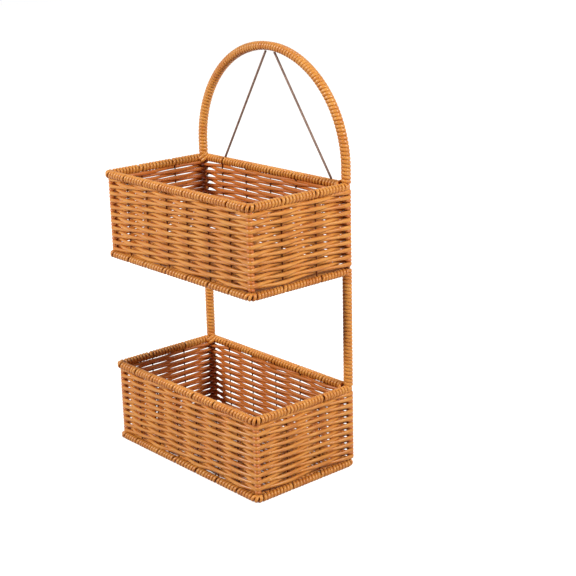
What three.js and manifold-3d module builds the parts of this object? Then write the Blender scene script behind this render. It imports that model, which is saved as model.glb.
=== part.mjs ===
// Two tier wall basket: a bent and welded wire frame, bound and woven with round strand.
// Millimetres, +Z up. The front faces -Y, the wall is on the +Y side, and the origin is
// at the middle of the outline on the surface that the lower basket stands on.
import * as THREE from "three";
import { mergeVertices } from "three/addons/utils/BufferGeometryUtils.js";
import Module from "manifold-3d";

// Outline of the baskets over their bound rims
const overallWidth = 210;
const overallDepth = 120;

// Wires of the frame
const rodDiameter = 3.6; // arch and legs, one rod
const ringWireDiameter = 2.6; // rims and base frames
const stakeDiameter = 1.5; // wall stakes and floor ribs
const braceDiameter = 1.5;

// Strand
const bindingThickness = 2.2; // what the binding adds all round a wire
const weaveDiameter = 2.8;
const floorStrandDiameter = 2.2;
const lashingDiameter = 1.6;
const lashingTurns = 2;

// Heights between the centres of the ring wires, from the lower base upwards
const lowerBasketRise = 72.6;
const tierSpacing = 110.3;
const upperBasketRise = 75.9;
const legAboveRim = 15.6; // straight leg from the upper rim to where the arch springs
const archRise = 98.1;

// Stakes between the corner posts of each wall; with the four corners they make an odd
// number, so the weaving strand changes sides at every stake from one round to the next
const frontStakes = 6;
const backStakes = 5;
const sideStakes = 2;
const frontEndSpacing = 25.3; // corner post to the first stake
const backEndSpacing = 29.5;
const sideEndSpacing = 34.9;

const cornerBend = 3.4; // bend radius of the ring wires at the front corners

// Braces between the arch and the upper back rim, left then right
const braceFootX = [-65.7, 81.2];
const braceHeadX = [-3.1, 9.3];

// Gaps
const fit = 0.3; // between neighbouring pieces
const weaveFit = 0.2; // between a strand and the wire that it passes
const rowGap = 0.2; // least gap between rounds of the weaving strand
const lashingGap = 0.55; // between the turns of a lashing
const lashingSlack = 0.8; // between a lashing's oval and the two wires that it ties
const floorRowPitch = 5;
const ringSeamX = 17; // butt joint of each ring wire, between two back stakes

// Faceting
const ringSides = 8;
const wireSides = 6;
const strandSides = 5;
const floorStrandSides = 4;
const bendSteps = 3;
const archSteps = 20;
const lashingSteps = 24; // in each turn

const ringWireRadius = ringWireDiameter / 2;
const rodRadius = rodDiameter / 2;
const stakeRadius = stakeDiameter / 2;
const boundRingRadius = ringWireRadius + bindingThickness;
const boundRodRadius = rodRadius + bindingThickness;

const ringX = overallWidth / 2 - boundRingRadius;
const ringY = overallDepth / 2 - boundRingRadius;

// The legs stand at the back corners, with room outside them for the weaving strand
const legInset = fit + weaveDiameter + weaveFit + rodRadius;
const legX = overallWidth / 2 - legInset;
const legY = overallDepth / 2 - legInset;

// A ring wire passes inside the legs: it cuts each back corner between two knees
const legToRing = rodRadius + fit + ringWireRadius;
const kneeSum = legX + legY - legToRing * Math.SQRT2;
const kneeX = kneeSum - ringY;
const kneeY = kneeSum - ringX;

// Stakes stand against the inner side of the ring wires
const stakeInset = ringWireRadius + fit + stakeRadius;
const wallX = ringX - stakeInset;
const wallY = ringY - stakeInset;
const postInset = cornerBend - (cornerBend - stakeInset) * Math.SQRT1_2;
const postX = ringX - postInset;
const postY = ringY - postInset;

const lowerBaseZ = boundRingRadius;
const lowerRimZ = lowerBaseZ + lowerBasketRise;
const upperBaseZ = lowerRimZ + tierSpacing;
const upperRimZ = upperBaseZ + upperBasketRise;
const springZ = upperRimZ + legAboveRim;

// A lashing is an oval coil round a leg and the ring wire that passes inside it. "coil"
// is the right one, measured from the height of the ring wire.
const lashingRadius = lashingDiameter / 2;
const coil = lashingPath(1, 0);
const lashingTop = Math.max(...coil.map((point) => point.z)) + lashingRadius;
const lashingDrop = lashingRadius - Math.min(...coil.map((point) => point.z));

// Where the bindings of the rings end beside the legs
const rimEndX = Math.min(...coil.map((point) => point.x)) - lashingRadius - fit;
const rimEndY = Math.min(...coil.map((point) => point.y)) - lashingRadius - fit;
const baseEndX = kneeX - ringWireRadius;
const baseEndY = kneeY - ringWireRadius;

const strandMaterial = new THREE.MeshStandardMaterial({
  color: 0xd2914f,
  roughness: 0.5,
  metalness: 0,
});
const wireMaterial = new THREE.MeshStandardMaterial({
  color: 0x5a4334,
  roughness: 0.45,
  metalness: 0.6,
});

const wasm = await Module();
wasm.setup();

const basket = new THREE.Group();

function addPiece(name, geometry, material) {
  const mesh = new THREE.Mesh(geometry, material);
  mesh.name = name;
  basket.add(mesh);
}

// A path of straight runs that is sampled at exactly its own points
class PointPath extends THREE.Curve {
  constructor(points) {
    super();
    this.points = points;
  }

  getPointAt(share) {
    return this.points[Math.round(share * (this.points.length - 1))].clone();
  }

  getTangentAt(share) {
    const last = this.points.length - 1;
    const at = Math.round(share * last);
    const here = this.points[at];
    const tangent = new THREE.Vector3();
    if (at > 0) tangent.add(here.clone().sub(this.points[at - 1]).normalize());
    if (at < last) tangent.add(this.points[at + 1].clone().sub(here).normalize());
    return tangent.normalize();
  }
}

// Corners of a regular section that has a flat side towards each axis
function flatSided(radius, sides) {
  const reach = radius / Math.cos(Math.PI / sides);
  return Array.from({ length: sides }, (_, i) => {
    const angle = ((i + 0.5) * 2 * Math.PI) / sides;
    return new THREE.Vector2(reach * Math.cos(angle), reach * Math.sin(angle));
  });
}

// Corners of a regular section whose corners lie on the circle
function cornered(radius, sides) {
  return Array.from({ length: sides }, (_, i) => {
    const angle = (i * 2 * Math.PI) / sides;
    return new THREE.Vector2(radius * Math.cos(angle), radius * Math.sin(angle));
  });
}

function sweep(points, section, bore) {
  const shape = new THREE.Shape(section);
  if (bore) shape.holes.push(new THREE.Path(bore));
  return new THREE.ExtrudeGeometry(shape, {
    steps: points.length - 1,
    extrudePath: new PointPath(points),
    bevelEnabled: false,
  });
}

function wire(points, diameter) {
  return sweep(points, cornered(diameter / 2, wireSides));
}

// The binding round a wire is a close sleeve, open at both ends
function sleeve(points, wireRadius) {
  const outer = flatSided(wireRadius + bindingThickness, ringSides);
  const inner = flatSided(wireRadius + fit, ringSides);
  return sweep(points, outer, inner);
}

// Points of a rounded front corner of a ring, from its left to its right end
function frontCorner(side, z) {
  return Array.from({ length: bendSteps + 1 }, (_, i) => {
    const angle = (1.5 + (side - 1) / 4 + i / bendSteps / 2) * Math.PI;
    const x = side * (ringX - cornerBend) + cornerBend * Math.cos(angle);
    const y = cornerBend - ringY + cornerBend * Math.sin(angle);
    return new THREE.Vector3(x, y, z);
  });
}

function ringWire(z) {
  const path = [
    new THREE.Vector3(ringSeamX - fit / 2, ringY, z),
    new THREE.Vector3(-kneeX, ringY, z),
    new THREE.Vector3(-ringX, kneeY, z),
    ...frontCorner(-1, z),
    ...frontCorner(1, z),
    new THREE.Vector3(ringX, kneeY, z),
    new THREE.Vector3(kneeX, ringY, z),
    new THREE.Vector3(ringSeamX + fit / 2, ringY, z),
  ];
  return wire(path, ringWireDiameter);
}

// A binding that covers both sides and the front, and one that covers the back. Floor
// ribs pass through the bindings of a base to reach its wire.
function addRingBindings(name, z, endX, endY, ribs) {
  const around = [
    new THREE.Vector3(-ringX, endY, z),
    ...frontCorner(-1, z),
    ...frontCorner(1, z),
    new THREE.Vector3(ringX, endY, z),
  ];
  const back = [new THREE.Vector3(endX, ringY, z), new THREE.Vector3(-endX, ringY, z)];
  for (const [side, path] of [["front", around], ["back", back]]) {
    let binding = toSolid(sleeve(path, ringWireRadius));
    for (const rib of ribs) {
      binding = binding.subtract(toSolid(wire(rib, stakeDiameter + 2 * fit)));
    }
    addPiece(name + "_" + side + "_binding", fromSolid(binding), strandMaterial);
  }
}

// Evenly spaced places between two end gaps, from the low end to the high end
function spaced(count, halfSpan, endSpacing) {
  const reach = halfSpan - endSpacing;
  return Array.from({ length: count }, (_, i) => reach * ((2 * i) / (count - 1) - 1));
}

const frontPlaces = spaced(frontStakes, postX, frontEndSpacing);
const backPlaces = spaced(backStakes, legX, backEndSpacing);
const sidePlaces = spaced(sideStakes, wallY, sideEndSpacing);

// Every upright that the strand passes, anticlockwise from the left back leg. "out" is
// the angle of the outward direction, and a corner is passed with two bends.
function uprights() {
  const quarter = Math.PI / 2;
  const post = { radius: stakeRadius, corner: true };
  const leg = { radius: rodRadius, corner: true };
  const stake = { radius: stakeRadius, corner: false };
  return [
    { name: "leg_left", x: -legX, y: legY, out: 1.5 * quarter, ...leg },
    ...sidePlaces
      .toReversed()
      .map((y) => ({ name: "left", x: -wallX, y, out: 2 * quarter, ...stake })),
    { name: "corner_left", x: -postX, y: -postY, out: 2.5 * quarter, ...post },
    ...frontPlaces.map((x) => ({ name: "front", x, y: -wallY, out: 3 * quarter, ...stake })),
    { name: "corner_right", x: postX, y: -postY, out: 3.5 * quarter, ...post },
    ...sidePlaces.map((y) => ({ name: "right", x: wallX, y, out: 0, ...stake })),
    { name: "leg_right", x: legX, y: legY, out: 0.5 * quarter, ...leg },
    ...backPlaces
      .toReversed()
      .map((x) => ({ name: "back", x, y: wallY, out: quarter, ...stake })),
  ];
}

// Where the strand bends as it passes an upright on its outer or inner side
function passing(upright, outside) {
  const clear = upright.radius + weaveFit + weaveDiameter / 2;
  const middle = upright.out + (outside ? 0 : Math.PI);
  const turn = Math.PI / 8;
  const bends = !upright.corner ? [0] : outside ? [-turn, turn] : [turn, -turn];
  const reach = upright.corner ? clear / Math.cos(turn) : clear;
  return bends.map((bend) => {
    const x = upright.x + reach * Math.cos(middle + bend);
    const y = upright.y + reach * Math.sin(middle + bend);
    return new THREE.Vector2(x, y);
  });
}

// One strand woven over and under the uprights, climbing from the base to the rim
function wallWeave(baseZ, rimZ) {
  const ring = uprights();
  const bottom = baseZ + boundRingRadius + 2 * fit + weaveDiameter / 2;
  const rise = rimZ - lashingDrop - fit - weaveDiameter / 2 - bottom;
  const rounds = Math.floor(rise / (weaveDiameter + rowGap));
  const plan = [];
  for (let i = 0; i < rounds * ring.length; i++) {
    plan.push(...passing(ring[i % ring.length], i % 2 === 0));
  }
  let length = 0;
  const reached = plan.map((point, i) => {
    if (i > 0) length += point.distanceTo(plan[i - 1]);
    return length;
  });
  return plan.map(
    (point, i) =>
      new THREE.Vector3(point.x, point.y, bottom + (rise * reached[i]) / length),
  );
}

// One strand laid to and fro across the floor, over and under the ribs
function floorWeave(z) {
  const strandRadius = floorStrandDiameter / 2;
  const lift = stakeRadius + weaveFit + strandRadius;
  const reachY = ringY - boundRingRadius - fit - strandRadius;
  const clearOfWire = ringWireRadius + fit + strandRadius;
  const reachX = kneeSum - reachY - clearOfWire * Math.SQRT2;
  const rows = Math.floor((2 * reachY) / floorRowPitch) + 1;
  const pitch = (2 * reachY) / (rows - 1);
  const points = [];
  for (let row = 0; row < rows; row++) {
    const y = -reachY + row * pitch;
    const way = row % 2 === 0 ? 1 : -1;
    points.push(new THREE.Vector3(-way * reachX, y, z));
    backPlaces.forEach((place, i) => {
      const side = (row + i) % 2 === 0 ? 1 : -1;
      points.push(new THREE.Vector3(way * place, y, z + side * lift));
    });
    points.push(new THREE.Vector3(way * reachX, y, z));
  }
  return sweep(points, cornered(strandRadius, floorStrandSides));
}

function toSolid(geometry) {
  const bare = new THREE.BufferGeometry();
  bare.setAttribute("position", geometry.getAttribute("position"));
  if (geometry.index) bare.setIndex(geometry.index);
  const merged = mergeVertices(bare, 1e-4);
  return new wasm.Manifold(
    new wasm.Mesh({
      numProp: 3,
      vertProperties: merged.getAttribute("position").array,
      triVerts: new Uint32Array(merged.index.array),
    }),
  );
}

function fromSolid(solid) {
  const mesh = solid.getMesh();
  const geometry = new THREE.BufferGeometry();
  geometry.setAttribute("position", new THREE.BufferAttribute(mesh.vertProperties, 3));
  geometry.setIndex(new THREE.BufferAttribute(mesh.triVerts, 1));
  return geometry;
}

function ribPaths(z) {
  return backPlaces.map((x) => [
    new THREE.Vector3(x, -ringY, z),
    new THREE.Vector3(x, ringY, z),
  ]);
}

// A base frame is a ring wire with ribs welded across it from front to back
function baseFrame(z) {
  let frame = toSolid(ringWire(z));
  for (const rib of ribPaths(z)) frame = frame.add(toSolid(wire(rib, stakeDiameter)));
  return fromSolid(frame);
}

// The lashing that ties a rim to a leg: an oval coil that leans at 45 degrees, so that
// inside the basket its turns climb from the side rim to the back rim. Its ends lie on
// the outer side of the leg. "side" is -1 at the left leg and 1 at the right one.
function lashingPath(side, rimZ) {
  const wires = (legToRing + rodRadius + ringWireRadius) / 2;
  const halfDepth = wires + lashingRadius + lashingSlack;
  const halfLength = halfDepth + lashingSlack;
  const pitch = lashingDiameter + lashingGap;
  const steps = lashingTurns * lashingSteps;
  return Array.from({ length: steps + 1 }, (_, i) => {
    const angle = (2 * Math.PI * i) / lashingSteps;
    const outwards = halfDepth * Math.cos(angle) - legToRing / 2;
    const along = -halfLength * Math.sin(angle);
    const across = pitch * (lashingTurns / 2 - i / lashingSteps);
    const toBack = (along - across) * Math.SQRT1_2;
    const up = (along + across) * Math.SQRT1_2;
    const x = legX + (outwards - toBack) * Math.SQRT1_2;
    const y = legY + (outwards + toBack) * Math.SQRT1_2;
    return new THREE.Vector3(side * x, y, rimZ + up);
  });
}

// The least gap between the turns of a tube, measured on its path
function leastGap(points, diameter) {
  const apart = diameter * 2.5;
  const reached = [0];
  for (let i = 1; i < points.length; i++) {
    reached.push(reached[i - 1] + points[i].distanceTo(points[i - 1]));
  }
  let least = Infinity;
  for (let i = 0; i < points.length; i++) {
    for (let j = i + 1; j < points.length; j++) {
      if (reached[j] - reached[i] < apart) continue;
      least = Math.min(least, points[i].distanceTo(points[j]) - diameter);
    }
  }
  return least;
}

function addBasket(tier, baseZ, rimZ) {
  addPiece(tier + "_rim_wire", ringWire(rimZ), wireMaterial);
  addPiece(tier + "_base_frame", baseFrame(baseZ), wireMaterial);
  addRingBindings(tier + "_rim", rimZ, rimEndX, rimEndY, []);
  addRingBindings(tier + "_base", baseZ, baseEndX, baseEndY, ribPaths(baseZ));

  const foot = baseZ + boundRingRadius + fit;
  const head = rimZ - boundRingRadius - fit;
  const counts = {};
  for (const upright of uprights()) {
    if (upright.name.startsWith("leg")) continue;
    counts[upright.name] = (counts[upright.name] ?? 0) + 1;
    const number = upright.corner ? "" : "_" + counts[upright.name];
    const ends = [
      new THREE.Vector3(upright.x, upright.y, foot),
      new THREE.Vector3(upright.x, upright.y, head),
    ];
    const kind = upright.corner ? "_post_" : "_stake_";
    addPiece(tier + kind + upright.name + number, wire(ends, stakeDiameter), wireMaterial);
  }

  const strand = cornered(weaveDiameter / 2, strandSides);
  addPiece(tier + "_wall_weave", sweep(wallWeave(baseZ, rimZ), strand), strandMaterial);
  addPiece(tier + "_floor_weave", floorWeave(baseZ), strandMaterial);

  for (const [place, side] of [["left", -1], ["right", 1]]) {
    const path = lashingPath(side, rimZ);
    const tube = sweep(path, cornered(lashingRadius, strandSides));
    addPiece(tier + "_lashing_" + place, tube, strandMaterial);
    const gap = leastGap(path, lashingDiameter);
    console.log(tier, place, "lashing, least gap to itself", gap.toFixed(2), "mm");
  }
}

// The arch springs from the legs above the upper rim
function archPoints() {
  return Array.from({ length: archSteps + 1 }, (_, i) => {
    const angle = Math.PI * (1 - i / archSteps);
    const z = springZ + archRise * Math.sin(angle);
    return new THREE.Vector3(legX * Math.cos(angle), legY, z);
  });
}

function addArchAndLegs() {
  const footZ = lowerBaseZ - boundRingRadius + fit;
  const rod = [
    new THREE.Vector3(-legX, legY, footZ),
    ...archPoints(),
    new THREE.Vector3(legX, legY, footZ),
  ];
  addPiece("arch_rod", wire(rod, rodDiameter), wireMaterial);

  const bindingFoot = upperRimZ + lashingTop + fit;
  const bound = [
    new THREE.Vector3(-legX, legY, bindingFoot),
    ...archPoints(),
    new THREE.Vector3(legX, legY, bindingFoot),
  ];
  addPiece("arch_binding", sleeve(bound, rodRadius), strandMaterial);

  for (const [place, side] of [["left", -1], ["right", 1]]) {
    const stretch = [
      new THREE.Vector3(side * legX, legY, lowerRimZ + lashingTop + fit),
      new THREE.Vector3(side * legX, legY, upperBaseZ - boundRingRadius - fit),
    ];
    addPiece("leg_binding_" + place, sleeve(stretch, rodRadius), strandMaterial);
  }
}

// Two straight braces from the underside of the arch to the top of the back rim
function addBraces() {
  const footZ = upperRimZ + boundRingRadius + fit + stakeRadius;
  for (const [i, place] of ["left", "right"].entries()) {
    const headX = braceHeadX[i];
    const crown = springZ + archRise * Math.sqrt(1 - (headX / legX) ** 2);
    const headZ = crown - boundRodRadius - fit - braceDiameter / 2;
    const ends = [
      new THREE.Vector3(braceFootX[i], ringY - ringWireRadius, footZ),
      new THREE.Vector3(headX, legY, headZ),
    ];
    addPiece("brace_" + place, wire(ends, braceDiameter), wireMaterial);
  }
}

addArchAndLegs();
addBraces();
addBasket("lower", lowerBaseZ, lowerRimZ);
addBasket("upper", upperBaseZ, upperRimZ);

export default basket;
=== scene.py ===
import math
import random

import bpy
import numpy as np
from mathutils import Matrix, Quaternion, Vector, noise


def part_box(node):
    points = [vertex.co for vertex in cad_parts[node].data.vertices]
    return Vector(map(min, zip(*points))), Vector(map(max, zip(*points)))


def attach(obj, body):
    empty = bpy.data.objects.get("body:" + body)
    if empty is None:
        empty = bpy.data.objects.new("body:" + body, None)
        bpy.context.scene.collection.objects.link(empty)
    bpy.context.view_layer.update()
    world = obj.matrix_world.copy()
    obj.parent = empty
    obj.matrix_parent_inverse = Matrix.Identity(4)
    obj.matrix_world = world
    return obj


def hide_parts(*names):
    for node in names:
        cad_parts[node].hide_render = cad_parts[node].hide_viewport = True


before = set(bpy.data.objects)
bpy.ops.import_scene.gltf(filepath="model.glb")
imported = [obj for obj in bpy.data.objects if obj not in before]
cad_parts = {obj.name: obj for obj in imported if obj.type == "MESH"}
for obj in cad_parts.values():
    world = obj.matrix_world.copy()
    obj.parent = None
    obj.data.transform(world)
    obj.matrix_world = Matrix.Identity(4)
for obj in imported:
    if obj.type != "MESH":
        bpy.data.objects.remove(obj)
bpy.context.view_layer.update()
scene = bpy.context.scene
scene.view_settings.view_transform = "Standard"
noise.seed_set(5)  # noise vectors depend on it, and differ at each run without it
print("frame loaded,", len(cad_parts), "nodes")

millimetre = 0.001
halfTurn = math.pi
fullTurn = 2 * math.pi


# camera and light

cameraSetup = {
    "place": (0.904089, -0.715605, 0.506553),
    "aim": (0.0838, -0.0005, 0.1793),
    "rollDegrees": -1.385,
    "lens": 82.165,
    "sensor": 36,
}

lampSetup = {
    "right": {"place": (1.24, 0.3, 0.95), "size": 0.3, "power": 22},
    "left": {"place": (-0.44, -1.21, 0.95), "size": 0.3, "power": 22.5},
}
lampAim = (0, 0, 0.19)

skySetup = {"colour": (1, 1, 1, 1), "fill": (1, 0.74, 0.52, 1), "strength": 0.075}
floorSetup = {
    "size": 10.0,
    "colour": (0.86, 0.85, 0.84, 1),
    "bounce": (0.40, 0.31, 0.24, 1),
    "nearGlow": 0.60,
    "farGlow": 1.0,
    "near": 0.2,
    "far": 0.9,
}


def addCamera(setup):
    bpy.ops.object.camera_add(location=setup["place"])
    camera = bpy.context.object
    camera.name = "photoCamera"
    view = Vector(setup["aim"]) - Vector(setup["place"])
    roll = Quaternion((0, 0, 1), math.radians(setup["rollDegrees"]))
    camera.rotation_euler = (view.to_track_quat("-Z", "Y") @ roll).to_euler()
    camera.data.lens = setup["lens"]
    camera.data.sensor_width = setup["sensor"]
    scene.camera = camera


def addLamp(name, setup):
    bpy.ops.object.light_add(type="AREA", location=setup["place"])
    lamp = bpy.context.object
    lamp.name = name + "Lamp"
    view = Vector(lampAim) - Vector(setup["place"])
    lamp.rotation_euler = view.to_track_quat("-Z", "Y").to_euler()
    lamp.data.size = setup["size"]
    lamp.data.energy = setup["power"]


addCamera(cameraSetup)
for lampName, setup in lampSetup.items():
    addLamp(lampName, setup)
print("camera and lamps set")


# finishes

class Value:
    # a socket that can stand in a sum, which adds its Math nodes
    def __init__(self, shop, socket):
        self.shop = shop
        self.socket = socket

    def sum(self, operation, first, second):
        return self.shop.add("ShaderNodeMath", {"operation": operation}, {0: first, 1: second})

    def __add__(self, other):
        return self.sum("ADD", self, other)

    def __sub__(self, other):
        return self.sum("SUBTRACT", self, other)

    def __rsub__(self, other):
        return self.sum("SUBTRACT", other, self)

    def __mul__(self, other):
        return self.sum("MULTIPLY", self, other)

    __radd__ = __add__
    __rmul__ = __mul__


class Finish:
    # the node tree of one material, or of the world
    def __init__(self, tree):
        self.tree = tree
        self.tree.nodes.clear()

    def add(self, kind, settings=None, inputs=None, output=0):
        node = self.tree.nodes.new(kind)
        for setting, value in (settings or {}).items():
            if setting == "stops":
                self.setStops(node.color_ramp, value)
            else:
                setattr(node, setting, value)
        for socket, value in (inputs or {}).items():
            if isinstance(value, Value):
                self.tree.links.new(value.socket, node.inputs[socket])
            else:
                node.inputs[socket].default_value = value
        return Value(self, node.outputs[output]) if node.outputs else None

    def setStops(self, ramp, stops):
        while len(ramp.elements) < len(stops):
            ramp.elements.new(1)
        for element, (place, colour) in zip(ramp.elements, stops):
            element.position = place
            element.color = colour

    def mixColour(self, share, first, second):
        kind = {"data_type": "RGBA"}
        return self.add("ShaderNodeMix", kind, {0: share, 6: first, 7: second}, output=2)

    def blotches(self, place, scale, detail=2):
        inputs = {"Vector": place, "Scale": scale, "Detail": detail}
        return self.add("ShaderNodeTexNoise", None, inputs)


def newFinish(name):
    material = bpy.data.materials.new(name)
    material.use_nodes = True
    return material, Finish(material.node_tree)


strandLook = {
    "deep": (0.49, 0.152, 0.022, 1),
    "honey": (0.61, 0.252, 0.044, 1),
    "pale": (0.69, 0.340, 0.082, 1),
    "deepUpTo": 0.34,
    "honeyAt": 0.52,
    "paleFrom": 0.72,
    "streakShare": 0.6,
    # painted shade: the darker, redder colour that a strand takes towards its side that faces in,
    # and the share of it there
    "inner": (0.46, 0.100, 0.014, 1),
    "paintedShadeShare": 0.7,
    "roughness": 0.27,
    "streakRoughness": 0.16,
    "gloss": 0.34,
    "streakScale": 1.6,
    "streakLength": 0.014,
    "blotchSize": 0.02,
    "grainScale": 1100,
    "ridges": 11,
    "ridgeDepth": 0.05 * millimetre,
    "ridgeHeight": 0.5,
    "streakHeight": 0.8,
    "grainHeight": 0.25,
    "bumpStrength": 0.55,
}


def makeStrandFinish(look):
    material, shop = newFinish("honeyStrand")
    place = shop.add("ShaderNodeTexCoord", output=3)
    unwrapped = shop.add("ShaderNodeTexCoord", output=2)
    along = shop.add("ShaderNodeSeparateXYZ", None, {0: unwrapped}, output=0)
    around = shop.add("ShaderNodeSeparateXYZ", None, {0: unwrapped}, output=1)
    angle = around * fullTurn
    cosine = shop.add("ShaderNodeMath", {"operation": "COSINE"}, {0: angle})
    sine = shop.add("ShaderNodeMath", {"operation": "SINE"}, {0: angle})
    lengthwise = {0: cosine, 1: sine, 2: along * (1 / look["streakLength"])}
    streakPlace = shop.add("ShaderNodeCombineXYZ", None, lengthwise)
    streaks = shop.blotches(streakPlace, look["streakScale"], 3)
    broad = shop.blotches(place, 1 / look["blotchSize"])
    grain = shop.blotches(place, look["grainScale"])

    share = look["streakShare"]
    deep = (look["deepUpTo"], look["deep"])
    honey = (look["honeyAt"], look["honey"])
    pale = (look["paleFrom"], look["pale"])
    warm = {"stops": [deep, honey, pale]}
    tone = shop.add("ShaderNodeValToRGB", warm, {0: streaks * share + broad * (1 - share)})
    # painted shade: darker and redder towards the side of the strand that faces in, where the UV
    # map has its middle; on a wall that is the side inside the basket, on a winding the side
    # against the wire
    inward = (1 - cosine) * (look["paintedShadeShare"] / 2)
    tone = shop.mixColour(inward, tone, look["inner"])
    ridge = shop.add("ShaderNodeMath", {"operation": "SINE"}, {0: angle * look["ridges"]})
    height = ridge * look["ridgeHeight"] + streaks * look["streakHeight"]
    height += grain * look["grainHeight"]
    bumpInputs = {
        "Strength": look["bumpStrength"],
        "Distance": look["ridgeDepth"],
        "Height": height,
    }
    bump = shop.add("ShaderNodeBump", None, bumpInputs)
    surface = {
        "Base Color": tone,
        "Roughness": streaks * look["streakRoughness"] + look["roughness"],
        "Specular IOR Level": look["gloss"],
        "Normal": bump,
    }
    shader = shop.add("ShaderNodeBsdfPrincipled", None, surface)
    shop.add("ShaderNodeOutputMaterial", None, {"Surface": shader})
    return material


frameWireLook = {
    "paint": (0.105, 0.026, 0.009, 1),
    "worn": (0.160, 0.048, 0.018, 1),
    "roughness": 0.48,
    "metallic": 0.0,
    "gloss": 0.06,
}
braceLook = {
    "paint": (0.19, 0.120, 0.092, 1),
    "worn": (0.27, 0.175, 0.135, 1),
    "roughness": 0.38,
    "metallic": 0.2,
    "gloss": 0.25,
}
wireWear = {
    "patchScale": 320,
    "patchRoughness": 0.3,
    "wornFrom": 0.42,
    "wornTo": 0.62,
    "pitScale": 1500,
    "pitDepth": 0.04 * millimetre,
    "bumpStrength": 0.35,
}


def makeWireFinish(name, look, wear):
    material, shop = newFinish(name)
    place = shop.add("ShaderNodeTexCoord", output=3)
    patches = shop.blotches(place, wear["patchScale"], 4)
    pits = shop.blotches(place, wear["pitScale"])
    wornRange = {0: patches, 1: wear["wornFrom"], 2: wear["wornTo"]}
    worn = shop.add("ShaderNodeMapRange", None, wornRange)
    bumpInputs = {
        "Strength": wear["bumpStrength"],
        "Distance": wear["pitDepth"],
        "Height": pits,
    }
    bump = shop.add("ShaderNodeBump", None, bumpInputs)
    surface = {
        "Base Color": shop.mixColour(worn, look["paint"], look["worn"]),
        "Roughness": patches * wear["patchRoughness"] + look["roughness"],
        "Metallic": look["metallic"],
        "Specular IOR Level": look["gloss"],
        "Normal": bump,
    }
    shader = shop.add("ShaderNodeBsdfPrincipled", None, surface)
    shop.add("ShaderNodeOutputMaterial", None, {"Surface": shader})
    return material


def seenDirectly(shop):
    # rays that show the background: straight from the camera, or in a gloss or through glass
    camera = shop.add("ShaderNodeLightPath", output=0)
    glossy = shop.add("ShaderNodeLightPath", output=3)
    through = shop.add("ShaderNodeLightPath", output=6)
    return shop.add("ShaderNodeClamp", None, {0: camera + glossy + through})


def makeFloorFinish(setup):
    material, shop = newFinish("paleFloor")
    seen = seenDirectly(shop)
    colour = shop.mixColour(seen, setup["bounce"], setup["colour"])
    matt = shop.add("ShaderNodeBsdfDiffuse", None, {"Color": colour})
    place = shop.add("ShaderNodeTexCoord", output=3)
    away = shop.add("ShaderNodeVectorMath", {"operation": "LENGTH"}, {0: place}, output=1)
    spread = {0: away, 1: setup["near"], 2: setup["far"], 3: setup["nearGlow"], 4: setup["farGlow"]}
    glow = shop.add("ShaderNodeMapRange", None, spread)
    lit = shop.add("ShaderNodeEmission", None, {"Strength": seen * glow})
    both = shop.add("ShaderNodeAddShader", None, {0: matt, 1: lit})
    shop.add("ShaderNodeOutputMaterial", None, {"Surface": both})
    return material


def setSky(setup):
    world = bpy.data.worlds.new("studioSky")
    world.use_nodes = True
    scene.world = world
    shop = Finish(world.node_tree)
    seen = seenDirectly(shop)
    strength = seen + (1 - seen) * setup["strength"]
    colour = shop.mixColour(seen, setup["fill"], setup["colour"])
    sky = shop.add("ShaderNodeBackground", None, {0: colour, 1: strength})
    shop.add("ShaderNodeOutputWorld", None, {"Surface": sky})


strandFinish = makeStrandFinish(strandLook)
frameWireFinish = makeWireFinish("brownWire", frameWireLook, wireWear)
braceFinish = makeWireFinish("greyBrownWire", braceLook, wireWear)
setSky(skySetup)
print("finishes made")


# floor under the basket

bpy.ops.mesh.primitive_plane_add(size=floorSetup["size"], location=(0, 0, 0))
floor = bpy.context.object
floor.name = "studioFloor"
floor.data.materials.append(makeFloorFinish(floorSetup))


# places taken from the fixed frame

def middleOf(node):
    low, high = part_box(node)
    return (low + high) / 2


ringShape = {
    "wireRadius": 1.3 * millimetre,
    "boundRadius": 3.5 * millimetre,
    "bendRadius": 3.4 * millimetre,
    "backBendRadius": 5 * millimetre,
    "bendSteps": 12,
    "legToRing": 3.4 * millimetre,
    "stakeReach": 4 * millimetre,
    "seamX": 17 * millimetre,
    "seamGap": 0.15 * millimetre,
}
rodRadius = 1.8 * millimetre
boundRodRadius = 4 * millimetre
archRise = 98.1 * millimetre
stakeRadius = 0.6 * millimetre

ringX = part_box("upper_rim_front_binding")[1].x - ringShape["boundRadius"]
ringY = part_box("upper_rim_back_binding")[1].y - ringShape["boundRadius"]
legX = middleOf("leg_binding_right").x
legY = middleOf("leg_binding_right").y
kneeSum = legX + legY - ringShape["legToRing"] * math.sqrt(2)
kneeX = kneeSum - ringY
kneeY = kneeSum - ringX
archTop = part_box("arch_binding")[1].z - boundRodRadius


def tierHeights(tier):
    return middleOf(tier + "_base_front_binding").z, middleOf(tier + "_rim_wire").z


# Uprights of one basket in the order in which the strand passes them, anticlockwise
# from the left back leg; each has the direction that points out of the basket there.
def uprightsOf(tier):
    found = []

    def addUpright(x, y, radius, outDegrees, corner, node=None):
        spot = Vector((x, y))
        out = math.radians(outDegrees)
        found.append({"spot": spot, "radius": radius, "out": out, "corner": corner, "node": node})

    def addStakes(wall, count, outDegrees, backwards):
        numbers = range(count, 0, -1) if backwards else range(1, count + 1)
        for number in numbers:
            node = f"{tier}_stake_{wall}_{number}"
            centre = middleOf(node)
            addUpright(centre.x, centre.y, stakeRadius, outDegrees, False, node)

    leftPost = middleOf(tier + "_post_corner_left")
    rightPost = middleOf(tier + "_post_corner_right")
    addUpright(-legX, legY, rodRadius, 135, True)
    addStakes("left", 2, 180, False)
    addUpright(leftPost.x, leftPost.y, stakeRadius, 225, True, tier + "_post_corner_left")
    addStakes("front", 6, 270, False)
    addUpright(rightPost.x, rightPost.y, stakeRadius, 315, True, tier + "_post_corner_right")
    addStakes("right", 2, 0, False)
    addUpright(legX, legY, rodRadius, 45, True)
    addStakes("back", 5, 90, False)
    return found


# how a strand or a wire is drawn

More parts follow.
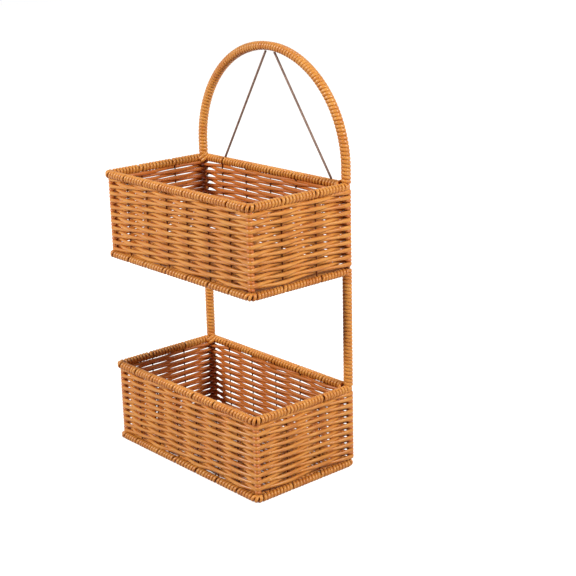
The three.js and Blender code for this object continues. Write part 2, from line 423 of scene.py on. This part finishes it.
def distancesAlong(points):
    reached = [0.0]
    for before, here in zip(points, points[1:]):
        reached.append(reached[-1] + (here - before).length)
    return reached


def spotOn(points, reached, distance):
    # place and direction at a distance along a path
    i = int(np.searchsorted(reached, distance, side="right")) - 1
    i = min(max(i, 0), len(points) - 2)
    span = reached[i + 1] - reached[i]
    share = (distance - reached[i]) / span
    step = points[i + 1] - points[i]
    direction = step.normalized()
    ahead = i + 2 < len(points) and share > 0.5
    behind = i > 0 and share <= 0.5
    if ahead:
        following = (points[i + 2] - points[i + 1]).normalized()
        direction = direction.lerp(following, share - 0.5).normalized()
    elif behind:
        previous = (points[i] - points[i - 1]).normalized()
        direction = direction.lerp(previous, 0.5 - share).normalized()
    return points[i] + step * share, direction


def dress(piece, finish, slot, nodes):
    piece.data.materials.clear()
    piece.data.materials.append(finish)
    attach(piece, "root")
    if nodes:
        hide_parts(*nodes)


def drawTube(name, points, radius, finish, slot, nodes, detail=2):
    # a round line of these points, closed at both ends, with its length in the UV map
    curve = bpy.data.curves.new(name, "CURVE")
    curve.dimensions = "3D"
    curve.twist_mode = "MINIMUM"
    curve.bevel_depth = radius
    curve.bevel_resolution = detail
    curve.use_fill_caps = True
    spline = curve.splines.new("POLY")
    spline.points.add(len(points) - 1)
    spline.points.foreach_set("co", [c for p in points for c in (p.x, p.y, p.z, 1)])
    piece = bpy.data.objects.new(name, curve)
    scene.collection.objects.link(piece)
    bpy.ops.object.select_all(action="DESELECT")
    piece.select_set(True)
    bpy.context.view_layer.objects.active = piece
    bpy.ops.object.convert(target="MESH")
    bpy.ops.object.mode_set(mode="EDIT")
    bpy.ops.mesh.select_all(action="SELECT")
    bpy.ops.mesh.remove_doubles(threshold=0.001 * millimetre)
    bpy.ops.mesh.normals_make_consistent(inside=False)
    bpy.ops.object.mode_set(mode="OBJECT")
    bpy.ops.object.shade_smooth()

    corners = piece.data.uv_layers.active.data
    flat = np.empty(len(corners) * 2, np.float32)
    corners.foreach_get("uv", flat)
    flat[0::2] *= distancesAlong(points)[-1]
    corners.foreach_set("uv", flat)
    dress(piece, finish, slot, nodes)
    return piece


# windings: one strand wound close round a wire

windingLook = {
    "halfThickness": 1.2 * millimetre,
    "fill": 0.38,
    "ringExtra": 0.3 * millimetre,
    "rodExtra": 0.43 * millimetre,
    "ringFlatness": 1.0,
    "rodFlatness": 0.75,
    "tightest": 2.9 * millimetre,
    "widest": 3.9 * millimetre,
    "pitchSpread": 0.04,
    "pitchWindow": 0.6,
    "lean": 0.36 * millimetre,
    "leanScale": 60,
    "leanSeed": 3.7,
    "leanLayer": 0.5,
    "lift": 0.04 * millimetre,
    "liftScale": 0.8,
    "liftSeed": 1.3,
    "liftLayer": 8.5,
    "sink": 0.22 * millimetre,
    "rodFuller": 0.42 * millimetre,
    "rimFuller": 0.45 * millimetre,
    "crownReach": 30 * millimetre,
    "stepsPerTurn": 18,
    "sides": 12,
    "gapLow": 1.0 * millimetre,
    "gapHigh": 1.9 * millimetre,
    "gapAfter": 0.6,
    "bendGap": 0.9 * millimetre,
    "straightFrom": 0.9,
    "bentFrom": 0.3,
}
windingPitch = {
    "arch": 3.38 * millimetre,
    "leg": 3.43 * millimetre,
    "rimFront": 3.85 * millimetre,
    "rimSide": 3.62 * millimetre,
    "rimBack": 3.85 * millimetre,
    "baseFront": 3.9 * millimetre,
    "baseSide": 3.6 * millimetre,
    "baseBack": 3.8 * millimetre,
    "bend": 2.6 * millimetre,
}


def noisePlace(look, kind, along, seed):
    # each piece has a line of its own through the noise
    line = seed * look[kind + "Seed"]
    return Vector((along * look[kind + "Scale"], line, look[kind + "Layer"]))


def windingKnots(stretches, look, rng):
    # Distances along the path at each half turn. A stretch runs from one mark to the next
    # with its own pitch, in whole turns, and each mark keeps its gap for a stake.
    knots = [0.0]
    for low, high, lowGap, highGap, pitch in stretches:
        free = high - low - lowGap - highGap
        turns = max(1, round(free / pitch))
        spread = look["pitchSpread"]
        parts = [1 + rng.uniform(-spread, spread) for _ in range(2 * turns)]
        parts = [part * free / sum(parts) for part in parts]
        parts[0] += lowGap
        parts[-1] += highGap
        for part in parts:
            knots.append(knots[-1] + part)
    return knots


def windingLine(path, across, wireRadius, stretches, look, seed, fuller):
    # Centre points of the wound strand, and the way out from the wire at each. What makes
    # a winding fuller grows inwards on a ring, and fades towards the crown on the arch.
    knots = windingKnots(stretches, look, random.Random(seed))
    reached = distancesAlong(path)
    halfTurns = len(knots) - 1
    steps = look["stepsPerTurn"] * halfTurns // 2
    turnPlaces = np.linspace(0, halfTurns, steps + 1)
    distances = np.interp(turnPlaces, range(halfTurns + 1), knots)
    middle = wireRadius + look["halfThickness"] - look["sink"]
    onRod = wireRadius == rodRadius
    points = []
    outs = []
    for turn, distance in zip(turnPlaces, distances):
        angle = -turn * halfTurn
        drift = noise.noise_vector(noisePlace(look, "lean", distance, seed))
        lift = look["lift"] * noise.noise(noisePlace(look, "lift", turn, seed))
        lean = look["lean"] * (math.sin(angle) * drift.x + math.cos(angle) * drift.y)
        at = min(max(distance + lean, 0), reached[-1])
        centre, direction = spotOn(path, reached, at)
        out = math.cos(angle) * across + math.sin(angle) * direction.cross(across)
        more = fuller
        if onRod:
            more *= min(1, abs(centre.x) / look["crownReach"])
        else:
            centre -= fuller * direction.cross(across)
        points.append(centre + (middle + more + lift) * out)
        outs.append(out)
    window = look["pitchWindow"]
    near = np.interp(turnPlaces - window, range(halfTurns + 1), knots)
    far = np.interp(turnPlaces + window, range(halfTurns + 1), knots)
    pitches = (far - near) / window
    extra = look["rodExtra" if onRod else "ringExtra"]
    broad = look["fill"] * np.clip(pitches, look["tightest"], look["widest"]) + extra
    return points, outs, broad


def flattened(share, flatness):
    return math.copysign(abs(share) ** flatness, share)


def drawOvalStrand(name, points, outs, halfThickness, halfWidth, sides, flatness=1):
    # A flattened strand, thin along outs; its half sizes are one number or one for each
    # point. A flatness under 1 gives it a flatter back with rounded edges.
    thin = np.resize(halfThickness, len(points))[:, None]
    broad = np.resize(halfWidth, len(points))[:, None]
    line = np.array(points)
    way = np.gradient(line, axis=0)
    way /= np.linalg.norm(way, axis=1)[:, None]
    out = np.array(outs)
    out -= (out * way).sum(1)[:, None] * way
    out /= np.linalg.norm(out, axis=1)[:, None]
    flank = np.cross(way, out)
    rings = []
    for i in range(sides):
        rise = flattened(math.cos(fullTurn * i / sides), flatness)
        side = flattened(math.sin(fullTurn * i / sides), flatness)
        rings.append(line + thin * rise * out + broad * side * flank)
    places = np.stack(rings, axis=1).reshape(-1, 3)
    count = len(points)
    faces = []
    for ring in range(count - 1):
        low = ring * sides
        for i in range(sides):
            after = (i + 1) % sides
            faces.append((low + i, low + after, low + sides + after, low + sides + i))
    faces.append(tuple(range(sides - 1, -1, -1)))
    faces.append(tuple(range((count - 1) * sides, count * sides)))
    mesh = bpy.data.meshes.new(name)
    mesh.from_pydata(places.tolist(), [], faces)
    reached = distancesAlong(points)
    unwrapped = []
    for ring in range(count - 1):
        near, far = reached[ring], reached[ring + 1]
        for i in range(sides):
            low, high = i / sides, (i + 1) / sides
            unwrapped += [near, low, near, high, far, high, far, low]
    unwrapped += [0.0] * (len(mesh.loops) * 2 - len(unwrapped))
    mesh.uv_layers.new(name="UVMap").data.foreach_set("uv", unwrapped)
    piece = bpy.data.objects.new(name, mesh)
    scene.collection.objects.link(piece)
    bpy.ops.object.select_all(action="DESELECT")
    piece.select_set(True)
    bpy.context.view_layer.objects.active = piece
    bpy.ops.object.shade_smooth()
    return piece


def addWinding(name, node, path, across, wireRadius, stretches, seed, fuller):
    look = windingLook
    line = windingLine(path, across, wireRadius, stretches, look, seed, fuller)
    points, outs, broad = line
    onRod = wireRadius == rodRadius
    flatness = look["rodFlatness" if onRod else "ringFlatness"]
    sizes = (look["halfThickness"], broad, look["sides"], flatness)
    piece = drawOvalStrand(name, points, outs, *sizes)
    dress(piece, strandFinish, "strand", [node])
    return len(points) // look["stepsPerTurn"]


def frontCorner(side, z):
    # from the side wall to the front wall on the left, and back again on the right
    bend = ringShape["bendRadius"]
    start = halfTurn if side < 0 else halfTurn * 1.5
    points = []
    for i in range(ringShape["bendSteps"] + 1):
        angle = start + halfTurn / 2 * i / ringShape["bendSteps"]
        x = side * (ringX - bend) + bend * math.cos(angle)
        y = bend - ringY + bend * math.sin(angle)
        points.append(Vector((x, y, z)))
    return points


def backCorner(side, z):
    # round the outside of a leg, in the same sense
    bend = ringShape["backBendRadius"]
    points = []
    for i in range(ringShape["bendSteps"] + 1):
        angle = halfTurn / 2 * i / ringShape["bendSteps"]
        x = side * (ringX - bend + bend * math.cos(angle))
        y = ringY - bend + bend * math.sin(angle)
        points.append(Vector((x, y, z)))
    return points if side > 0 else points[::-1]


windingReach = {
    "rimSide": 52.2 * millimetre,
    "rimBack": 96.4 * millimetre,
    "baseSide": 52.2 * millimetre,
    "baseBack": 96.4 * millimetre,
    "archFoot": 3.6 * millimetre,
    "legFoot": 3.6 * millimetre,
    "legHead": -3.4 * millimetre,
    "archSteps": 160,
    "pathStep": 0.5 * millimetre,
}


def nearestDistance(path, reached, spot):
    best = min(range(len(path)), key=lambda i: (path[i] - spot).length)
    return reached[best]


def finely(points, step):
    # the same path with more points
    result = [points[0]]
    for before, here in zip(points, points[1:]):
        parts = max(1, round((here - before).length / step))
        result += [before.lerp(here, (i + 1) / parts) for i in range(parts)]
    return result


def ringPaths(z, side, back, goesRound):
    around = frontCorner(-1, z) + frontCorner(1, z)
    if goesRound:
        around = backCorner(-1, z) + around + backCorner(1, z)
    else:
        around = [Vector((-ringX, side, z))] + around + [Vector((ringX, side, z))]
    behind = [Vector((back, ringY, z)), Vector((-back, ringY, z))]
    step = windingReach["pathStep"]
    return finely(around, step), finely(behind, step)


def stretchesBetween(marks, pitchAt):
    marks = sorted(marks)
    result = []
    for (low, _, gap), (high, nextGap, _) in zip(marks, marks[1:]):
        result.append((low, high, gap, nextGap, pitchAt((low + high) / 2)))
    return result


def addRingWindings(tier, level, z, seed):
    side = windingReach[level + "Side"]
    back = windingReach[level + "Back"]
    legGoesThrough = tier == "upper" and level == "base"
    around, behind = ringPaths(z, side, back, not legGoesThrough)
    rng = random.Random(seed)
    up = Vector((0, 0, 1))
    turns = 0
    for part, path in (("front", around), ("back", behind)):
        reached = distancesAlong(path)
        marks = [(0, 0, 0), (reached[-1], 0, 0)]
        for upright in uprightsOf(tier):
            if upright["corner"]:
                continue
            spot = Vector((upright["spot"].x, upright["spot"].y, z))
            nearest = min((p - spot).length for p in path)
            if nearest < ringShape["stakeReach"]:
                gap = rng.uniform(windingLook["gapLow"], windingLook["gapHigh"])
                after = rng.random() < windingLook["gapAfter"]
                gaps = (0, gap) if after else (gap, 0)
                marks.append((nearestDistance(path, reached, spot), *gaps))
        if part == "front":
            for end in (-1, 1):
                bend = frontCorner(end, z)
                gap = windingLook["bendGap"]
                marks.append((nearestDistance(path, reached, bend[0]), gap, 0))
                marks.append((nearestDistance(path, reached, bend[-1]), 0, gap))

        def pitchAt(distance):
            if part == "back":
                return windingPitch[level + "Back"]
            direction = spotOn(path, reached, distance)[1]
            wall = "Front" if abs(direction.x) > windingLook["straightFrom"] else "Side"
            bent = min(abs(direction.x), abs(direction.y)) > windingLook["bentFrom"]
            return windingPitch["bend" if bent else level + wall]

        node = f"{tier}_{level}_{part}_binding"
        name = f"{tier}{level.title()}{part.title()}Winding"
        stretches = stretchesBetween(marks, pitchAt)
        fuller = windingLook["rimFuller"] if level == "rim" else 0
        spot = (name, node, path, up, ringShape["wireRadius"])
        turns += addWinding(*spot, stretches, seed, fuller)
        seed += 1
    return turns


def archLine(footZ):
    springZ = archTop - archRise
    steps = windingReach["archSteps"]
    arch = []
    for i in range(steps + 1):
        angle = halfTurn * (1 - i / steps)
        z = springZ + archRise * math.sin(angle)
        arch.append(Vector((legX * math.cos(angle), legY, z)))
    low = Vector((0, 0, footZ - springZ))
    return [arch[0] + low] + arch + [arch[-1] + low]


wallwards = Vector((0, 1, 0))
heights = {tier: tierHeights(tier) for tier in ("lower", "upper")}

turnCount = 0
for seed, tier in enumerate(heights):
    baseZ, rimZ = heights[tier]
    turnCount += addRingWindings(tier, "rim", rimZ, 10 * seed + 1)
    turnCount += addRingWindings(tier, "base", baseZ, 10 * seed + 5)

archPath = archLine(heights["upper"][1] + windingReach["archFoot"])
archPath = finely(archPath, windingReach["pathStep"])
archLength = distancesAlong(archPath)[-1]
archMarks = [(0, 0, 0), (archLength, 0, 0)]
archStretches = stretchesBetween(archMarks, lambda distance: windingPitch["arch"])
archSpot = ("archWinding", "arch_binding", archPath, wallwards, rodRadius)
rodFuller = windingLook["rodFuller"]
turnCount += addWinding(*archSpot, archStretches, 31, rodFuller)
for place, side in (("left", -1), ("right", 1)):
    low = heights["lower"][1] + windingReach["legFoot"]
    high = heights["upper"][0] - windingReach["legHead"]
    ends = [Vector((side * legX, legY, low)), Vector((side * legX, legY, high))]
    path = finely(ends, windingReach["pathStep"])
    stretches = [(0, high - low, 0, 0, windingPitch["leg"])]
    legSpot = (place + "LegWinding", "leg_binding_" + place, path, wallwards, rodRadius)
    turnCount += addWinding(*legSpot, stretches, 40 + side, rodFuller)
print("windings made,", turnCount, "turns")


# wires of the frame

stakeShape = {
    "belowBase": 0.8 * millimetre,
    "aboveRim": 1.2 * millimetre,
    "step": 4 * millimetre,
    "sway": 0.24 * millimetre,
    "swayScale": 2.5,
    "swaySeed": 5.1,
    "swayLayer": 0.3,
}
braceShape = {
    "radius": 1.08 * millimetre,
    "inset": 0.3 * millimetre,
    "halfDepth": 0.75 * millimetre,
    "step": 6 * millimetre,
}


def addFrameWire(name, points, radius, nodes, detail=2):
    return drawTube(name, points, radius, frameWireFinish, "frame_wire", nodes, detail)


def addRingWire(name, z, node):
    # a bent wire whose ends meet in a seam at the back
    seamX = ringShape["seamX"]
    gap = ringShape["seamGap"]
    path = [Vector((seamX - gap, ringY, z)), Vector((-kneeX, ringY, z))]
    path += [Vector((-ringX, kneeY, z))] + frontCorner(-1, z) + frontCorner(1, z)
    path += [Vector((ringX, kneeY, z)), Vector((kneeX, ringY, z))]
    path += [Vector((seamX + gap, ringY, z))]
    nodes = [node] if node else []
    return addFrameWire(name, path, ringShape["wireRadius"], nodes)


def addStake(upright, baseZ, rimZ, seed):
    look = stakeShape
    node = upright["node"]
    low = baseZ - look["belowBase"]
    high = rimZ + look["aboveRim"]
    steps = round((high - low) / look["step"])
    points = []
    for i in range(steps + 1):
        share = i / steps
        sway = look["sway"] * math.sin(halfTurn * share)
        wander = noise.noise_vector(noisePlace(look, "sway", share, seed)) * sway
        z = low + (high - low) * share
        points.append(Vector((upright["spot"].x + wander.x, upright["spot"].y + wander.y, z)))
    first, *others = node.split("_")
    name = first + "".join(word.title() for word in others)
    addFrameWire(name, points, stakeRadius, [node])


def joined(first, others):
    # several wires welded into one piece
    bpy.ops.object.select_all(action="DESELECT")
    for piece in [first] + others:
        piece.select_set(True)
    bpy.context.view_layer.objects.active = first
    bpy.ops.object.join()
    return first


for tier, (baseZ, rimZ) in heights.items():
    addRingWire(tier + "RimWire", rimZ, tier + "_rim_wire")
    baseWire = addRingWire(tier + "BaseWire", baseZ, None)
    ribs = []
    for upright in uprightsOf(tier):
        if upright["node"] and "stake_back" in upright["node"]:
            x = upright["spot"].x
            ends = [Vector((x, -ringY, baseZ)), Vector((x, ringY, baseZ))]
            rib = addFrameWire(tier + "Rib", ends, stakeRadius, [])
            ribs.append(rib)
    joined(baseWire, ribs)
    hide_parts(tier + "_base_frame")
    for seed, upright in enumerate(uprightsOf(tier)):
        if upright["node"]:
            addStake(upright, baseZ, rimZ, seed)

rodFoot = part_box("arch_rod")[0].z
addFrameWire("archRod", archLine(rodFoot), rodRadius, ["arch_rod"], detail=4)

for place, side in (("left", -1), ("right", 1)):
    low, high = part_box("brace_" + place)
    footX, headX = (low.x, high.x) if side < 0 else (high.x, low.x)
    inset = -side * braceShape["inset"]
    foot = Vector((footX + inset, low.y + braceShape["halfDepth"], low.z))
    head = Vector((headX - inset, high.y - braceShape["halfDepth"], high.z))
    points = finely([foot, head], braceShape["step"])
    wire = (place + "Brace", points, braceShape["radius"], braceFinish)
    drawTube(*wire, "brace_wire", ["brace_" + place])
print("wires made")


# walls: one strand woven round the uprights, over one and under one

weaveLook = {
    "rounds": 21,
    "lastPassing": 17,
    "halfThickness": 1.4 * millimetre,
    "halfHeight": 1.96 * millimetre,
    "crossThickness": 1.5 * millimetre,
    "crossHeight": 1.52 * millimetre,
    "wrapThickness": 1.25 * millimetre,
    "wrapHeight": 1.55 * millimetre,
    "sides": 10,
    "fit": 0.02 * millimetre,
    "bendThickness": 1.25 * millimetre,
    "bendHeight": 2.15 * millimetre,
    "wrapStep": 0.22,
    "postRise": 0.7 * millimetre,
    "legRise": 1.3 * millimetre,
    "wobble": 0.5 * millimetre,
    "wobbleScale": 34,
    "wobbleUpright": 0.6,
    "crossingFrom": 8 * millimetre,
    "samplesPerSpan": 10,
    "start": 4.2 * millimetre,
    "lowest": 5.05 * millimetre,
    "highest": 4.7 * millimetre,
    "flatShare": 0.8,
}


def passing(upright, outside, look):
    # where the strand goes by an upright: place, direction, lift and the kind of pass
    thick = look["wrapThickness"] if upright["corner"] else look["halfThickness"]
    clear = upright["radius"] + look["fit"] + thick
    out = upright["out"]
    outwards = Vector((math.cos(out), math.sin(out)))
    if not upright["corner"]:
        reach = clear if outside else -clear
        way = Vector((-outwards.y, outwards.x))
        return [(upright["spot"] + outwards * reach, way, 0, "pass")]
    # the strand bends round the outside of a corner, and wraps it when it comes inside
    rise = look["postRise"] if upright["node"] else look["legRise"]
    turning = 1 if outside else -1
    sweep = halfTurn / 4 if outside else halfTurn * 3 / 4
    steps = max(2, round(sweep / look["wrapStep"]))
    result = []
    for i in range(steps + 1):
        share = 2 * i / steps - 1
        angle = out + turning * share * sweep
        arm = Vector((math.cos(angle), math.sin(angle)))
        way = Vector((-arm.y, arm.x)) * turning
        if outside:
            result.append((upright["spot"] + arm * clear, way, 0, "bend"))
        else:
            result.append((upright["spot"] + arm * clear, way, share * rise, "wrap"))
    return result


def smoothThrough(passings, look):
    # a curve through all the passings, level with each direction; each of its points has
    # its lift, its half thickness and its half height
    points = []
    for (start, startWay, startLift, startKind), after in zip(passings, passings[1:]):
        end, endWay, endLift, endKind = after
        chord = (end - start).length
        crossing = chord > look["crossingFrom"]
        count = look["samplesPerSpan"] if crossing else 1
        startThin, startTall = strandSize(startKind, look)
        endThin, endTall = strandSize(endKind, look)
        for i in range(count):
            t = i / count
            a = (1 + 2 * t) * (1 - t) ** 2
            b = t * (1 - t) ** 2 * chord
            c = t * t * (3 - 2 * t)
            d = t * t * (t - 1) * chord
            spot = start * a + startWay * b + end * c + endWay * d
            lift = startLift + (endLift - startLift) * t
            thin = startThin + (endThin - startThin) * c
            tall = startTall + (endTall - startTall) * c
            between = math.sin(halfTurn * t) ** 2 if crossing else 0
            thin += (look["crossThickness"] - thin) * between
            tall += (look["crossHeight"] - tall) * between
            points.append((spot, lift, thin, tall))
    spot, _, lift, kind = passings[-1]
    points.append((spot, lift, *strandSize(kind, look)))
    return points


def strandSize(kind, look):
    if kind == "wrap":
        return look["wrapThickness"], look["wrapHeight"]
    if kind == "bend":
        return look["bendThickness"], look["bendHeight"]
    return look["halfThickness"], look["halfHeight"]


def addWallStrand(tier, baseZ, rimZ, seed):
    look = weaveLook
    ring = uprightsOf(tier)
    low = baseZ + look["lowest"]
    high = rimZ - look["highest"]
    passings = []
    count = (look["rounds"] - 1) * len(ring) + look["lastPassing"] + 1
    for i in range(count):
        passings += passing(ring[i % len(ring)], i % 2 == 1, look)
    line = smoothThrough(passings, look)
    reached = distancesAlong([spot for spot, lift, thin, tall in line])
    start = baseZ + look["start"]
    rise = (high - start) * count / ((look["rounds"] - look["flatShare"]) * len(ring))
    points = []
    for (spot, lift, thin, tall), distance in zip(line, reached):
        z = min(max(start + rise * distance / reached[-1], low), high)
        place = Vector((spot.x, spot.y, z * look["wobbleUpright"] + seed)) * look["wobbleScale"]
        z += look["wobble"] * noise.noise(place) + lift
        points.append(Vector((spot.x, spot.y, z)))
    ways = np.gradient(np.array(points), axis=0)
    outs = np.stack([ways[:, 1], -ways[:, 0], np.zeros(len(points))], axis=1)
    thin = [size[2] for size in line]
    tall = [size[3] for size in line]
    piece = drawOvalStrand(tier + "WallStrand", points, outs, thin, tall, look["sides"])
    dress(piece, strandFinish, "strand", [tier + "_wall_weave"])


for seed, (tier, (baseZ, rimZ)) in enumerate(heights.items()):
    addWallStrand(tier, baseZ, rimZ, seed)
    print(tier, "wall woven")


# floors: one strand laid to and fro over and under the ribs

floorLook = {
    "strandRadius": 1.2 * millimetre,
    "fit": 0.05 * millimetre,
    "pitch": 2.62 * millimetre,
    "reachX": 93.9 * millimetre,
    "reachY": 51.6 * millimetre,
    "samplesPerSpan": 8,
    "turnSteps": 5,
}


def addFloorStrand(tier, z):
    look = floorLook
    lift = stakeRadius + look["fit"] + look["strandRadius"]
    places = [u["spot"].x for u in uprightsOf(tier) if u["node"] and "stake_back" in u["node"]]
    places.sort()
    rows = math.floor(2 * look["reachY"] / look["pitch"]) + 1
    pitch = 2 * look["reachY"] / (rows - 1)
    points = []
    for row in range(rows):
        y = -look["reachY"] + row * pitch
        way = 1 if row % 2 == 0 else -1
        stops = [(-look["reachX"], 0)]
        stops += [(x, (1 if (row + i) % 2 == 0 else -1) * lift) for i, x in enumerate(places)]
        stops.append((look["reachX"], 0))
        if way < 0:
            stops.reverse()
        line = []
        for (startX, startZ), (endX, endZ) in zip(stops, stops[1:]):
            for i in range(look["samplesPerSpan"]):
                share = i / look["samplesPerSpan"]
                ease = share * share * (3 - 2 * share)
                x = startX + (endX - startX) * share
                height = z + startZ + (endZ - startZ) * ease
                line.append(Vector((x, y, height)))
        line.append(Vector((stops[-1][0], y, z)))
        if row < rows - 1:
            for i in range(1, look["turnSteps"]):
                angle = halfTurn * i / look["turnSteps"]
                bulge = pitch / 2 * math.sin(angle)
                turn = pitch / 2 * (1 - math.cos(angle))
                line.append(Vector((stops[-1][0] + way * bulge, y + turn, z)))
        points += line
    name = tier + "FloorStrand"
    node = tier + "_floor_weave"
    drawTube(name, points, look["strandRadius"], strandFinish, "strand", [node], detail=1)


for tier, (baseZ, rimZ) in heights.items():
    addFloorStrand(tier, baseZ)
print("floors woven")


# lashings that tie each rim to the legs

lashingLook = {
    "halfThickness": 1.3 * millimetre,
    "halfWidth": 1.72 * millimetre,
    "sides": 10,
    "turns": 2,
    "inset": 2.95 * millimetre,
    "halfDepth": 4.9 * millimetre,
    "halfLength": 5.2 * millimetre,
    "pitch": 3.1 * millimetre,
    "stepsPerTurn": 28,
}


def addLashing(tier, place, side, rimZ):
    look = lashingLook
    slant = math.sqrt(0.5)
    steps = look["turns"] * look["stepsPerTurn"]
    points = []
    outs = []
    for i in range(steps + 1):
        angle = fullTurn * i / look["stepsPerTurn"]
        depth = look["halfDepth"] * math.cos(angle)
        along = -look["halfLength"] * math.sin(angle)
        across = look["pitch"] * (look["turns"] / 2 - i / look["stepsPerTurn"])
        middle = Vector((legX, legY, rimZ))
        middle.x -= look["inset"] * slant
        middle.y -= look["inset"] * slant
        outwards = Vector((slant, slant, 0))
        wallwise = Vector((-slant * slant, slant * slant, slant))
        crosswise = Vector((slant * slant, -slant * slant, slant))
        arm = outwards * depth + wallwise * along
        spot = middle + arm + crosswise * across
        points.append(Vector((side * spot.x, spot.y, spot.z)))
        outs.append(Vector((side * arm.x, arm.y, arm.z)))
    name = tier + place.title() + "Lashing"
    sizes = (look["halfThickness"], look["halfWidth"], look["sides"])
    piece = drawOvalStrand(name, points, outs, *sizes)
    dress(piece, strandFinish, "strand", [f"{tier}_lashing_{place}"])


for tier, (baseZ, rimZ) in heights.items():
    addLashing(tier, "left", -1, rimZ)
    addLashing(tier, "right", 1, rimZ)
print("lashings made")
